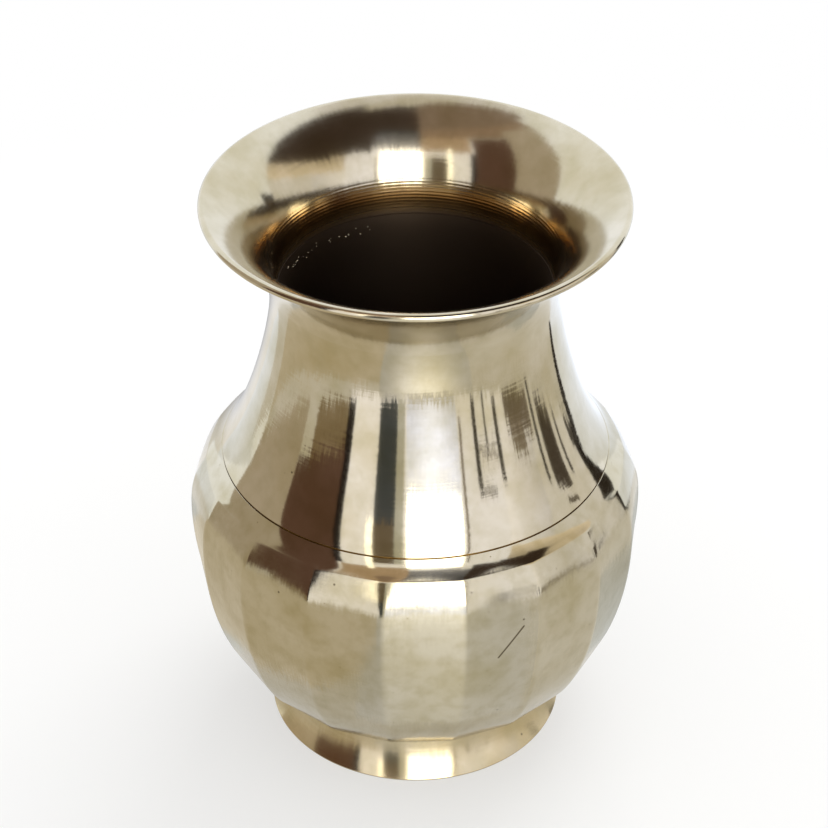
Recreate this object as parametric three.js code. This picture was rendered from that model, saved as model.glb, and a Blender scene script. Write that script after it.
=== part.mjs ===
// Lota: a footed brass water pot with a flared mouth, a waisted neck and a belly ground into panels.
// Millimetres, +Z up. The origin lies on the pot's axis, in the plane that the foot stands on.
import * as THREE from 'three';
import { mergeVertices } from 'three/addons/utils/BufferGeometryUtils.js';

// Heights of the four turned pieces, from the ground up
const FOOT_HEIGHT = 12.1;
const BOWL_HEIGHT = 62.45;
const NECK_LENGTH = 40.35;
const MOUTH_RISE = 24.5;

// Outside radii
const FOOT_RADIUS = 35.1;
const FOOT_WAIST_RADIUS = 30.4;
const BELLY_RADIUS = 52.7;
const SHOULDER_RADIUS = 44.8;
const NECK_RADIUS = 32.6;
const RIM_RADIUS = 47.5;

// Walls
const WALL = 1.8;
const FOOT_WALL = 2.2;
const FLOOR_THICKNESS = 3;

// Panels ground into the belly: its widest ring lies above the seat, the ridges end below the collar
const PANELS = 18;
const BELLY_RISE = 44.1;
const RIDGE_END_DROP = 4.1;

// Shoulder: the radius gained per millimetre of drop where neck and bowl meet
const SHOULDER_SLOPE = 0.75;

// Bowl's underside: the flat seat reaches past the foot's fillet, and a boss centres the foot on it
const SEAT_MARGIN = 0.8;
const BOSS_DEPTH = 1.2;

// Joints: filler film, sockets and their clearances
const BRAZE_FILM = 0.3;
const BRAZE_RECESS = 0.15;
const JOINT_CLEARANCE = 0.15;
const COLLAR_WALL = 1.5;
const COLLAR_DEPTH = 2.85;
const SPIGOT_WALL = 1.2;
const SPIGOT_DEPTH = 3.6;
const SLEEVE_WALL = 0.75;
const LAP_RISE = 2;
const LAP_LENGTH = 3;
const FOOT_FILLET = 0.8;
const FOOT_EDGE = 0.6;

// How far the curves of the outline hold the direction of each end
const NECK_WAIST_PULL = 9;
const NECK_SHOULDER_PULL = 10;
const RIDGE_END_PULL = 5;
const BELLY_UPPER_PULL = 8;
const BELLY_LOWER_PULL = 18.5;
const SEAT_PULL = 14.25;
const SEAT_ANGLE = THREE.MathUtils.degToRad(10.5);
const FOOT_BASE_PULL = 3.5;
const FOOT_BASE_ANGLE = THREE.MathUtils.degToRad(31);
const FOOT_WAIST_PULL = 4;
const FOOT_WAIST_ANGLE = THREE.MathUtils.degToRad(11);

// Fineness of the faceted surfaces
const STEPS_PER_PANEL = 3;
const LONG_CURVE_STEPS = 9;
const SHORT_CURVE_STEPS = 6;
const BELLY_STEPS = 12;
const ROUND_STEPS_AT_SEAT = 2;

// Levels and angles that follow from the sizes
const seatLevel = FOOT_HEIGHT + BRAZE_FILM;
const bellyLevel = seatLevel + BELLY_RISE;
const collarLevel = seatLevel + BOWL_HEIGHT;
const shoulderLevel = collarLevel + BRAZE_FILM;
const waistLevel = shoulderLevel + NECK_LENGTH;
const rimLevel = waistLevel + MOUTH_RISE;
const lapFloor = waistLevel + LAP_RISE;
const lapTop = lapFloor + LAP_LENGTH;
const halfPanel = Math.PI / PANELS;
const shoulderAngle = Math.atan(SHOULDER_SLOPE);

// Radii that follow from the sizes
const shoulderLip = SHOULDER_RADIUS + SHOULDER_SLOPE * BRAZE_FILM / 2;
const neckFootRadius = SHOULDER_RADIUS - SHOULDER_SLOPE * BRAZE_FILM / 2;
const collarBore = shoulderLip - COLLAR_WALL;
const spigotRadius = collarBore - JOINT_CLEARANCE;
const spigotBore = spigotRadius - SPIGOT_WALL;
const sleeveBore = NECK_RADIUS - SLEEVE_WALL;
const lapRadius = sleeveBore - JOINT_CLEARANCE;
const footBore = FOOT_WAIST_RADIUS - FOOT_WALL;
const filletRadius = FOOT_WAIST_RADIUS + FOOT_FILLET;
const seatRadius = filletRadius + SEAT_MARGIN;
const bossRadius = footBore - JOINT_CLEARANCE;

const at = (radius, height) => new THREE.Vector2(radius, height);

// The point a given way from another, leaning from upright by an angle, outwards when positive.
function leaning(from, angle, distance) {
  return at(from.x + distance * Math.sin(angle), from.y + distance * Math.cos(angle));
}

function curve(start, startPull, endPull, end, steps) {
  return new THREE.CubicBezierCurve(start, startPull, endPull, end).getPoints(steps);
}

function arc(centre, radius, from, to, steps) {
  return new THREE.ArcCurve(centre.x, centre.y, radius, from, to, from > to).getPoints(steps);
}

// The same outline moved towards the axis side by a wall, for a line that climbs with its metal inside.
function inset(points, wall) {
  return points.map((point, i) => {
    const before = points[Math.max(i - 1, 0)];
    const after = points[Math.min(i + 1, points.length - 1)];
    const along = after.clone().sub(before).normalize();
    return at(point.x - wall * along.y, point.y + wall * along.x);
  });
}

// Turns an outline round the upright axis, starting on a ridge between two panels.
function lathe(outline) {
  const turned = new THREE.LatheGeometry(outline, PANELS * STEPS_PER_PANEL, halfPanel);
  return turned.rotateX(Math.PI / 2);
}

// Welds the seam and the poles of a turned piece, and drops the triangles that shrank to a line there.
function weld(geometry) {
  geometry.deleteAttribute('normal');
  geometry.deleteAttribute('uv');
  const welded = mergeVertices(geometry);
  const corners = Array.from(welded.index.array);
  const kept = [];
  for (let i = 0; i < corners.length; i += 3) {
    const [a, b, c] = corners.slice(i, i + 3);
    if (a !== b && b !== c && c !== a) kept.push(a, b, c);
  }
  welded.setIndex(kept);
  welded.computeVertexNormals();
  return welded;
}

// Grinds the panels: each outline point that has a face distance is pulled in to that flat face.
function grind(geometry, faceDistances) {
  const position = geometry.attributes.position;
  for (let i = 0; i < position.count; i += 1) {
    const face = faceDistances[i % faceDistances.length];
    const x = position.getX(i);
    const y = position.getY(i);
    const radius = Math.hypot(x, y);
    const turn = Math.atan2(x, -y) / (2 * halfPanel);
    const offCentre = (turn - Math.round(turn)) * 2 * halfPanel;
    const scale = Math.min(1, face / Math.cos(offCentre) / radius);
    position.setXY(i, x * scale, y * scale);
  }
  return geometry;
}

function piece(name, geometry, colour, roughness) {
  const material = new THREE.MeshStandardMaterial({ color: colour, roughness, metalness: 1 });
  const mesh = new THREE.Mesh(weld(geometry), material);
  mesh.name = name;
  return mesh;
}

// Flare: one round sweep from the upright waist to the lip, with the same centre for both faces
const lipCentre = at(RIM_RADIUS - WALL / 2, rimLevel - WALL / 2);
const flareRun = lipCentre.x - (NECK_RADIUS - WALL / 2);
const flareRise = lipCentre.y - waistLevel;
const flareSweep = 2 * Math.atan(flareRun / flareRise);
const flareRadius = flareRise / Math.sin(flareSweep);
const flareCentre = at(NECK_RADIUS - WALL / 2 + flareRadius, waistLevel);
const outerFlareRadius = flareRadius - WALL / 2;
const innerFlareRadius = flareRadius + WALL / 2;

// The direction from the flare's centre to the point of one face at a level.
function flareDirection(radius, level) {
  return Math.PI - Math.asin((level - waistLevel) / radius);
}

function flaredMouth() {
  const lipDirection = Math.PI - flareSweep;
  const outside = arc(flareCentre, outerFlareRadius, flareDirection(outerFlareRadius, lapTop),
    lipDirection, LONG_CURVE_STEPS);
  const lip = arc(lipCentre, WALL / 2, lipDirection - Math.PI, lipDirection, SHORT_CURVE_STEPS);
  const inside = arc(flareCentre, innerFlareRadius, lipDirection,
    flareDirection(innerFlareRadius, lapFloor), LONG_CURVE_STEPS);
  const outline = [
    at(lapRadius, lapFloor),
    at(lapRadius, lapTop),
    ...outside,
    ...lip.slice(1),
    ...inside.slice(1),
    at(lapRadius, lapFloor),
  ];
  return piece('flared_mouth', lathe(outline), 0xc6bb98, 0.18);
}

function neckShell() {
  const rebateFloor = lapFloor - BRAZE_FILM;
  const base = at(neckFootRadius, shoulderLevel);
  const waist = at(NECK_RADIUS, waistLevel);
  const outside = curve(base, leaning(base, -shoulderAngle, NECK_SHOULDER_PULL),
    leaning(waist, 0, -NECK_WAIST_PULL), waist, LONG_CURVE_STEPS);
  const outsideTop = arc(flareCentre, outerFlareRadius, Math.PI,
    flareDirection(outerFlareRadius, lapTop), 2);
  const insideTop = arc(flareCentre, innerFlareRadius, flareDirection(innerFlareRadius, rebateFloor),
    Math.PI, 1);
  const inside = inset(outside, WALL).reverse().filter((point) => point.x < spigotBore);
  const outline = [
    at(spigotBore, shoulderLevel - SPIGOT_DEPTH),
    at(spigotRadius, shoulderLevel - SPIGOT_DEPTH),
    at(spigotRadius, shoulderLevel),
    ...outside,
    ...outsideTop.slice(1),
    at(sleeveBore, lapTop),
    at(sleeveBore, rebateFloor),
    ...insideTop,
    ...inside.slice(1),
    at(spigotBore, shoulderLevel),
    at(spigotBore, shoulderLevel - SPIGOT_DEPTH),
  ];
  return piece('neck_shell', lathe(outline), 0xc3b793, 0.16);
}

function facetedBowl() {
  const shoulderAt = (radius) => at(radius, collarLevel - (radius - shoulderLip) / SHOULDER_SLOPE);
  const ridgeEndRadius = shoulderLip + SHOULDER_SLOPE * RIDGE_END_DROP;
  const seatEdge = at(seatRadius, seatLevel);
  const widest = at(BELLY_RADIUS, bellyLevel);
  const ridgeEnd = shoulderAt(ridgeEndRadius);
  const lower = curve(seatEdge, leaning(seatEdge, Math.PI / 2 - SEAT_ANGLE, SEAT_PULL),
    leaning(widest, 0, -BELLY_LOWER_PULL), widest, BELLY_STEPS);
  const upper = curve(widest, leaning(widest, 0, BELLY_UPPER_PULL),
    leaning(ridgeEnd, -shoulderAngle, -RIDGE_END_PULL), ridgeEnd, SHORT_CURVE_STEPS);
  const ridge = [...lower, ...upper.slice(1)];

  // The panels run out upwards into the round shoulder, higher at their middles than at the ridges
  const panelFace = ridgeEndRadius * Math.cos(halfPanel);
  const runOut = [panelFace / Math.cos(halfPanel / STEPS_PER_PANEL), panelFace, shoulderLip];
  const shoulder = runOut.map(shoulderAt);

  const flats = ridge.map((point) => at(point.x * Math.cos(halfPanel), point.y));
  const inside = inset(flats, WALL).reverse();
  const floorLevel = seatLevel - BOSS_DEPTH + FLOOR_THICKNESS;
  const outline = [
    at(0, seatLevel - BOSS_DEPTH),
    at(bossRadius, seatLevel - BOSS_DEPTH),
    at(bossRadius, seatLevel),
    ...ridge,
    ...shoulder,
    at(collarBore, collarLevel),
    at(collarBore, collarLevel - COLLAR_DEPTH),
    ...inside.filter((point) => point.y > floorLevel),
    at(seatRadius - WALL, floorLevel),
    at(0, floorLevel),
  ];
  const panels = ridge.slice(ROUND_STEPS_AT_SEAT);
  const faceDistances = outline.map((point) => {
    if (panels.includes(point)) return point.x * Math.cos(halfPanel);
    return shoulder.includes(point) ? panelFace : Infinity;
  });
  return piece('faceted_bowl', grind(lathe(outline), faceDistances), 0xb5a881, 0.27);
}

function footRing() {
  const edge = at(FOOT_RADIUS, FOOT_EDGE);
  const waist = at(FOOT_WAIST_RADIUS, FOOT_HEIGHT);
  const edgeCentre = at(FOOT_RADIUS - FOOT_EDGE, FOOT_EDGE);
  const rounded = arc(edgeCentre, FOOT_EDGE, -Math.PI / 2, 0, 3);
  const outside = curve(edge, leaning(edge, -FOOT_BASE_ANGLE, FOOT_BASE_PULL),
    leaning(waist, -FOOT_WAIST_ANGLE, -FOOT_WAIST_PULL), waist, SHORT_CURVE_STEPS);
  const inside = outside.map((point) => at(point.x - FOOT_WALL, point.y)).reverse();
  const outline = [
    at(FOOT_RADIUS - FOOT_WALL, 0),
    ...rounded,
    ...outside.slice(1),
    ...inside.slice(0, -1),
    at(FOOT_RADIUS - FOOT_WALL, 0),
  ];
  return piece('foot_ring', lathe(outline), 0xbfae84, 0.2);
}

// A filler ring of the film's thickness, with its own outside radius on its lower and upper face.
function brazeRing(name, level, insideRadius, lowerRadius, upperRadius) {
  const outline = [
    at(insideRadius, level),
    at(lowerRadius, level),
    at(upperRadius, level + BRAZE_FILM),
    at(insideRadius, level + BRAZE_FILM),
    at(insideRadius, level),
  ];
  return piece(name, lathe(outline), 0xa88c52, 0.4);
}

function brazeRings() {
  const neckInside = NECK_RADIUS - WALL + BRAZE_RECESS;
  const shoulderOutside = neckFootRadius - BRAZE_RECESS;
  return [
    brazeRing('neck_braze', lapFloor - BRAZE_FILM, neckInside, lapRadius, lapRadius),
    brazeRing('shoulder_braze', collarLevel, collarBore, shoulderOutside, shoulderOutside),
    brazeRing('foot_braze', FOOT_HEIGHT, footBore, FOOT_WAIST_RADIUS, filletRadius),
  ];
}

const lota = new THREE.Group();
lota.add(flaredMouth(), neckShell(), facetedBowl(), footRing(), ...brazeRings());

export default lota;
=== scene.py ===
# %% [markdown]
# # A brass lota
# A lota is a small footed water pot. This one has a flared mouth, a waisted neck, a belly ground into
# eighteen upright panels and a spreading foot, all brazed together. The measured model gives every
# piece its size and place, and this lesson gives each piece its fine surface and its metal.

# %% Load the measured model
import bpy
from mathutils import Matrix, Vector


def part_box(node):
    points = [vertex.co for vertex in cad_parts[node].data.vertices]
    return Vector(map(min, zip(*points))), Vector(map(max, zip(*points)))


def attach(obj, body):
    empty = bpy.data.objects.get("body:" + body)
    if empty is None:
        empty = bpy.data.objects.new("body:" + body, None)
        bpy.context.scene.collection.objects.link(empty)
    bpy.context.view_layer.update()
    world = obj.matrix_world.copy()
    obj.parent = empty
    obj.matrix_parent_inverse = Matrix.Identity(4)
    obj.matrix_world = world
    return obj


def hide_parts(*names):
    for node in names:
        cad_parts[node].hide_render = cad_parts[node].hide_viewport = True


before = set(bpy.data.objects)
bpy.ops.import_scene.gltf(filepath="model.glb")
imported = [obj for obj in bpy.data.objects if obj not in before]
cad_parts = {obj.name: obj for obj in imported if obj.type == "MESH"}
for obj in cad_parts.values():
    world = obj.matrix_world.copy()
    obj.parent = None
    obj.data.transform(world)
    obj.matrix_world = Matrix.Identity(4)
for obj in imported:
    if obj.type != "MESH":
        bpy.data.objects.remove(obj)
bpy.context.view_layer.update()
print("nodes:", ", ".join(sorted(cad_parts)))

# %% [markdown]
# ## Sizes
# Blender works in metres, but a metalworker thinks in millimetres, so sizes here are millimetres and
# one factor turns them into metres at the end. Whatever the measured model can tell is read from it:
# the widest radius and the two end levels of each piece. Only what its boxes can't tell, such as wall
# thickness and the lean of a curve, is written down again, with the piece that first needs it.

# %% Read the sizes from the model
import math

import bpy
from mathutils import Vector
from mathutils.geometry import interpolate_bezier

MM = 0.001


def reach(node):
    """The widest radius, the lowest level and the highest level of a node, in millimetres."""
    low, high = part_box(node)
    return high.x / MM, low.z / MM, high.z / MM


foot_radius, ground_level, foot_top = reach("foot_ring")
fillet_radius, _, seat_level = reach("foot_braze")
belly_radius, boss_level, collar_level = reach("faceted_bowl")
filler_radius, _, shoulder_level = reach("shoulder_braze")
neck_base_radius, spigot_level, lap_top = reach("neck_shell")
lap_radius, rebate_floor, lap_floor = reach("neck_braze")
rim_radius, _, rim_level = reach("flared_mouth")
print(f"mouth {2 * rim_radius:.1f} mm wide, belly {2 * belly_radius:.1f} mm, height {rim_level:.1f} mm")

# %% [markdown]
# ## Camera
# A long lens, well above the rim, looks down into the mouth. A camera can be aimed by hand in the
# viewport, but one that is worked out from two angles and a distance always comes back to the same
# place. It comes first, because everything that follows is judged through it. The image is square.

# %% Camera
CAMERA_DISTANCE = 620
CAMERA_AZIMUTH = -2
CAMERA_ELEVATION = 35.43
AIM_LEVEL = 82
AIM_LEFT = 0.33
LENS = 117.14
SENSOR_WIDTH = 36
NEAREST_SEEN = 10


def toward(azimuth, elevation):
    """The direction from the pot to a point of the studio, with azimuth 0 towards the camera."""
    turn = math.radians(azimuth + CAMERA_AZIMUTH)
    rise = math.radians(elevation)
    return Vector((math.sin(turn) * math.cos(rise), -math.cos(turn) * math.cos(rise), math.sin(rise)))


def on_axis(level):
    return Vector((0, 0, level))


def placed(name, data):
    """A new object in the scene, at the origin."""
    made = bpy.data.objects.new(name, data)
    bpy.context.scene.collection.objects.link(made)
    return made


def make_camera():
    camera = placed("camera", bpy.data.cameras.new("camera"))
    back = toward(0, CAMERA_ELEVATION)
    left = toward(-90, 0) * AIM_LEFT
    camera.location = (on_axis(AIM_LEVEL) + left + back * CAMERA_DISTANCE) * MM
    camera.rotation_mode = "QUATERNION"
    camera.rotation_quaternion = (-back).to_track_quat("-Z", "Y")
    camera.data.sensor_width = SENSOR_WIDTH
    camera.data.lens = LENS
    camera.data.clip_start = NEAREST_SEEN * MM
    bpy.context.scene.camera = camera
    return camera


camera = make_camera()
print("camera at", [round(x, 3) for x in camera.location])

# %% [markdown]
# ## One helper for every node
# Geometry Nodes and shaders are both graphs. This one function adds a node, sets its options, and
# then links or sets its inputs. An input can be another node, which means that node's first output.
# Sums with numbers and with directions come up all the time, so those two kinds get short names.

# %% Node helper
MATH = "ShaderNodeMath"
VECTOR_MATH = "ShaderNodeVectorMath"


def add(tree, kind, inputs=None, **options):
    """Adds a node, sets its options, and links or sets its inputs by name or by number."""
    made = tree.nodes.new(kind)
    for option, value in options.items():
        setattr(made, option, value)
    for key, value in (inputs or {}).items():
        named = [s for s in made.inputs if s.name == key and s.enabled]
        socket = made.inputs[key] if isinstance(key, int) else named[0]
        if isinstance(value, bpy.types.Node):
            value = next(s for s in value.outputs if s.enabled)
        if isinstance(value, bpy.types.NodeSocket):
            tree.links.new(value, socket)
        else:
            socket.default_value = value
    return made


# %% [markdown]
# ## Trees as tools
# A Geometry Nodes tree works like a tool with named settings. One function opens a new tree with its
# settings, and another runs a tree on an object. The modifier could stay on the object, but the
# finished pot must not depend on live modifiers, so the result is kept as a plain mesh.


# %% Tree helpers
def new_tree(name, inputs):
    """An empty tree with inputs, each a name and a kind, and with one piece as its output."""
    tree = bpy.data.node_groups.new(name, "GeometryNodeTree")
    for label, kind in inputs:
        tree.interface.new_socket(label, in_out="INPUT", socket_type=f"NodeSocket{kind}")
    tree.interface.new_socket("Piece", in_out="OUTPUT", socket_type="NodeSocketGeometry")
    return tree, add(tree, "NodeGroupInput").outputs


def run_tree(piece, tree, values):
    """Runs a tree on a piece, with inputs set through their identifiers, and keeps the plain mesh."""
    modifier = piece.modifiers.new(tree.name, "NODES")
    modifier.node_group = tree
    sockets = tree.interface.items_tree
    for label, value in values.items():
        modifier[next(s.identifier for s in sockets if s.name == label)] = value
    evaluated = piece.evaluated_get(bpy.context.evaluated_depsgraph_get())
    mesh = bpy.data.meshes.new_from_object(evaluated)
    piece.modifiers.clear()
    draft = piece.data
    piece.data = mesh
    bpy.data.meshes.remove(draft)
    mesh.name = piece.name
    print(f"{piece.name}: {len(mesh.polygons)} faces, {piece.dimensions.x / MM:.1f} mm wide")


# %% [markdown]
# ## A grid for the lathe
# The real pot is made on a lathe and then held against a grinding wheel, eighteen times round. The
# same two rules make the mesh. A Spin tool or a Screw modifier could turn an outline, but neither
# can grind, so a Geometry Nodes tree does both. It starts from a flat grid, with one row for each
# point of the outline and one column for each step round the axis.


# %% Grid
def outline_grid(tree, given):
    """The grid, and for each of its points the row it is in and its angle round the axis."""
    size = add(tree, "GeometryNodeAttributeDomainSize", {"Geometry": given["Outline"]}, component="MESH")
    rows = size.outputs["Point Count"]
    columns = add(tree, MATH, {0: given["Columns"], 1: 1.0}, operation="ADD")
    grid = add(tree, "GeometryNodeMeshGrid", {"Vertices X": columns, "Vertices Y": rows})
    index = add(tree, "GeometryNodeInputIndex")
    row = add(tree, MATH, {0: index, 1: rows}, operation="FLOORED_MODULO")
    share = add(tree, MATH, {0: index, 1: rows}, operation="DIVIDE")
    column = add(tree, MATH, {0: share}, operation="FLOOR")
    part = add(tree, MATH, {0: column, 1: given["Columns"]}, operation="DIVIDE")
    turn = add(tree, MATH, {0: part, 1: math.tau}, operation="MULTIPLY")
    return grid, row, turn


def from_outline(tree, given, row, field, kind="FLOAT"):
    """The value of a field at the outline's point for a row."""
    return add(tree, "GeometryNodeSampleIndex", {"Geometry": given["Outline"], "Value": field, "Index": row},
               data_type=kind, domain="POINT")


# %% [markdown]
# ## Grinding
# A wheel takes off what stands proud of a panel's flat face. Away from the middle of a panel, such a
# face lies at the middle's distance divided by the cosine of the angle, and the smaller of that and
# the turned radius is what stays. A smooth minimum in place of a plain one leaves the ridges slightly
# rounded, as buffing does. Hand work is never quite even, so each panel has its own depth, and the
# outline's flatness says how far a face is flat or still crowned.

# %% Grinding
PANELS = 18
PANEL_SEED = 7


def ground_radius(tree, given, turn, radius, face, flatness):
    """The radius that is left of a turned one, where a panel's face may lie further in."""
    width = add(tree, MATH, {0: math.tau, 1: given["Panels"]}, operation="DIVIDE")
    half = add(tree, MATH, {0: width, 1: 0.5}, operation="MULTIPLY")
    minus_half = add(tree, MATH, {0: width, 1: -0.5}, operation="MULTIPLY")
    off_middle = add(tree, MATH, {0: turn, 1: half, 2: minus_half}, operation="WRAP")
    count = add(tree, MATH, {0: turn, 1: width}, operation="DIVIDE")
    panel = add(tree, MATH, {0: count}, operation="ROUND")
    panel = add(tree, MATH, {0: panel, 1: given["Panels"]}, operation="FLOORED_MODULO")
    deeper = add(tree, "FunctionNodeRandomValue",
                 {"Min": 0.0, "Max": given["Panel depth spread"], "ID": panel, "Seed": PANEL_SEED},
                 data_type="FLOAT")
    middle = add(tree, MATH, {0: face, 1: deeper}, operation="SUBTRACT")
    cosine = add(tree, MATH, {0: off_middle}, operation="COSINE")
    flat = add(tree, MATH, {0: middle, 1: cosine}, operation="DIVIDE")
    crowned = add(tree, "ShaderNodeMix", {0: flatness, 2: radius, 3: flat}, data_type="FLOAT")
    return add(tree, MATH, {0: radius, 1: crowned, 2: given["Ridge rounding"]},
               operation="SMOOTH_MIN")


# %% [markdown]
# ## Turning
# Each point then goes to its place round the axis, counted from the front, which is -Y. A wall that
# was spun by hand is never quite round, so a slow noise pulls it in by a few hundredths of a
# millimetre. It never pushes out, and so the pot stays inside its measured size.

# %% Turning
FRONT_FIRST = (1, -1, 0)
WAVER_DETAIL = 1.0


def way_out(tree, turn):
    """The level direction from the axis at an angle round it."""
    sine = add(tree, MATH, {0: turn}, operation="SINE")
    cosine = add(tree, MATH, {0: turn}, operation="COSINE")
    level = add(tree, "ShaderNodeCombineXYZ", {0: sine, 1: cosine})
    return add(tree, VECTOR_MATH, {0: level, 1: FRONT_FIRST}, operation="MULTIPLY")


def spun_place(tree, given, around, radius, level):
    """The place of a point on a wavering wall."""
    height = add(tree, "ShaderNodeCombineXYZ", {2: level})
    even = add(tree, VECTOR_MATH, {0: around, 1: radius, 2: height}, operation="MULTIPLY_ADD")
    finer = add(tree, MATH, {0: 1.0, 1: given["Waver length"]}, operation="DIVIDE")
    noise = add(tree, "ShaderNodeTexNoise", {"Vector": even, "Scale": finer, "Detail": WAVER_DETAIL})
    dip = add(tree, MATH, {0: noise, 1: given["Waver"]}, operation="MULTIPLY")
    pulled = add(tree, MATH, {0: radius, 1: dip}, operation="SUBTRACT")
    spun = add(tree, MATH, {0: pulled, 1: 0.0}, operation="MAXIMUM")
    return add(tree, VECTOR_MATH, {0: around, 1: spun, 2: height}, operation="MULTIPLY_ADD")


# %% [markdown]
# ## Corners
# The grid's first and last columns meet, and rows on the axis shrink to a point, so the seam and the
# poles are merged. Smooth shading hides the facets, and only edges that bend sharply stay crisp.

# %% Corners
MERGE_DISTANCE = 0.001


def crisp_corners(tree, given, piece):
    """Closes a turned piece and smooths everything but its true corners."""
    closed = add(tree, "GeometryNodeMergeByDistance",
                 {"Geometry": piece, "Distance": MERGE_DISTANCE * MM})
    smooth = add(tree, "GeometryNodeSetShadeSmooth", {"Geometry": closed, "Shade Smooth": True},
                 domain="FACE")
    bend = add(tree, "GeometryNodeInputMeshEdgeAngle").outputs["Unsigned Angle"]
    corner = add(tree, "FunctionNodeCompare", {"A": bend, "B": given["Sharp angle"]},
                 data_type="FLOAT", operation="GREATER_THAN")
    return add(tree, "GeometryNodeSetShadeSmooth",
               {"Geometry": smooth, "Selection": corner, "Shade Smooth": False}, domain="EDGE")


# %% [markdown]
# ## The whole lathe
# Here the steps become one tree. Three notes stay on the mesh for the metal: how far along the outline
# a point lies, whether it is inside the pot, and whether the wheel took metal off there.

# %% Lathe tree
LATHE_INPUTS = (("Outline", "Geometry"), ("Columns", "Int"), ("Panels", "Int"), ("Ridge rounding", "Float"),
                ("Panel depth spread", "Float"), ("Waver", "Float"), ("Waver length", "Float"),
                ("Sharp angle", "Float"), ("Metal", "Material"))


def lathe_tree():
    tree, given = new_tree("turn_and_grind", LATHE_INPUTS)
    grid, row, turn = outline_grid(tree, given)
    spot = from_outline(tree, given, row, add(tree, "GeometryNodeInputPosition"), "FLOAT_VECTOR")
    spot = add(tree, "ShaderNodeSeparateXYZ", {0: spot}).outputs
    notes = {}
    for name in ("along", "inside", "face", "flatness"):
        field = add(tree, "GeometryNodeInputNamedAttribute", {"Name": name}, data_type="FLOAT")
        notes[name] = from_outline(tree, given, row, field)
    radius = ground_radius(tree, given, turn, spot["X"], notes["face"], notes["flatness"])
    place = spun_place(tree, given, way_out(tree, turn), radius, spot["Z"])
    piece = add(tree, "GeometryNodeSetPosition", {"Geometry": grid, "Position": place})
    taken = add(tree, MATH, {0: spot["X"], 1: radius}, operation="SUBTRACT")
    ground = add(tree, "ShaderNodeMapRange", {"Value": taken, "From Max": given["Ridge rounding"]})
    for name, value in (("along", notes["along"]), ("inside", notes["inside"]), ("ground", ground)):
        piece = add(tree, "GeometryNodeStoreNamedAttribute",
                    {"Geometry": piece, "Name": name, "Value": value}, data_type="FLOAT", domain="POINT")
    crisp = crisp_corners(tree, given, piece)
    real = add(tree, "GeometryNodeRealizeInstances", {"Geometry": crisp})
    metal = add(tree, "GeometryNodeSetMaterial", {"Geometry": real, "Material": given["Metal"]})
    add(tree, "NodeGroupOutput", {"Piece": metal})
    return tree


LATHE = lathe_tree()
print("lathe tree:", len(LATHE.nodes), "nodes")

# %% [markdown]
# ## From outline to piece
# An outline is a list of stretches, each a run of points with a share from 0 to 1 for how far it
# belongs to the dark inside of the pot. The points become the vertices of a small mesh with no faces,
# which carries the notes that the lathe reads, and the lathe turns it.

# %% Turning a piece
RIDGE_ROUNDING = 0.24
PANEL_DEPTH_SPREAD = 0.16
WAVER = 0.09
WAVER_LENGTH = 26
SHARP_ANGLE = 30
NO_PANEL = 1000
FLAT = 1.0


def turned(name, stretches, columns, metal, faces=None, flatness=None):
    """Turns an outline, which climbs on the outside of a piece and comes down on its inside."""
    points = [point for run, _ in stretches for point in run]
    steps = [(b - a).length for a, b in zip(points, points[1:])]
    notes = {"along": [sum(steps[:i]) for i in range(len(points))],
             "inside": [share for run, share in stretches for _ in run],
             "face": [f * MM for f in faces or [NO_PANEL] * len(points)],
             "flatness": flatness or [FLAT] * len(points)}
    draft = bpy.data.meshes.new(name)
    draft.from_pydata([(p.x * MM, 0, p.y * MM) for p in points], [], [])
    for note, values in notes.items():
        draft.attributes.new(note, "FLOAT", "POINT").data.foreach_set("value", values)
    piece = placed(name, draft)
    run_tree(piece, LATHE, {
        "Columns": columns, "Panels": PANELS, "Ridge rounding": RIDGE_ROUNDING * MM,
        "Panel depth spread": PANEL_DEPTH_SPREAD * MM, "Waver": WAVER * MM,
        "Waver length": WAVER_LENGTH * MM, "Sharp angle": math.radians(SHARP_ANGLE), "Metal": metal})
    return piece


# %% [markdown]
# ## Drawing an outline
# Three strokes draw every outline: a straight line, a round arc, and a curve that leaves one point in
# a set direction and reaches another in a set direction. The points could be typed in one by one, but
# strokes stay smooth when a size changes.


# %% Strokes
def at(radius, height):
    return Vector((radius, height))


def leaning(point, angle, distance):
    """The point some way from another, leaning outwards from upright by an angle in degrees."""
    lean = math.radians(angle)
    return at(point.x + distance * math.sin(lean), point.y + distance * math.cos(lean))


def curve(start, start_pull, end_pull, end, steps):
    return [p.to_2d() for p in interpolate_bezier(start, start_pull, end_pull, end, steps + 1)]


def arc(centre, radius, first, last, steps):
    angles = [first + (last - first) * i / steps for i in range(steps + 1)]
    return [at(centre.x + radius * math.cos(a), centre.y + radius * math.sin(a)) for a in angles]


def inset(points, wall):
    """The same line moved inwards by a wall, for a line that climbs with its metal on the axis side."""
    moved = []
    for i, point in enumerate(points):
        along = (points[min(i + 1, len(points) - 1)] - points[max(i - 1, 0)]).normalized()
        moved.append(at(point.x - wall * along.y, point.y + wall * along.x))
    return moved


# %% [markdown]
# ## Colours
# Colours are picked as sRGB hex values, the way any picture program shows them. Shaders calculate in
# linear light, so one function converts them.


# %% Colour helper
def linear(code):
    """An sRGB hex colour as linear red, green, blue and alpha."""
    parts = [int(code[i:i + 2], 16) / 255 for i in (1, 3, 5)]
    return (*[c / 12.92 if c <= 0.04045 else ((c + 0.055) / 1.055) ** 2.4 for c in parts], 1.0)


# %% [markdown]
# ## Patterns on metal
# Every surface of the pot is brass, and what differs is how it was worked. Lathe marks run round the
# pot, so they need fine steps along the outline and long ones round the axis. Grinding strokes run
# upright, so they need the opposite. Both come from the direction round the axis and the distance
# along the outline that the lathe stored. Patches and pits have no direction, so they follow Object
# coordinates. A UV map could carry all of them, but it would have a seam.

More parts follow.
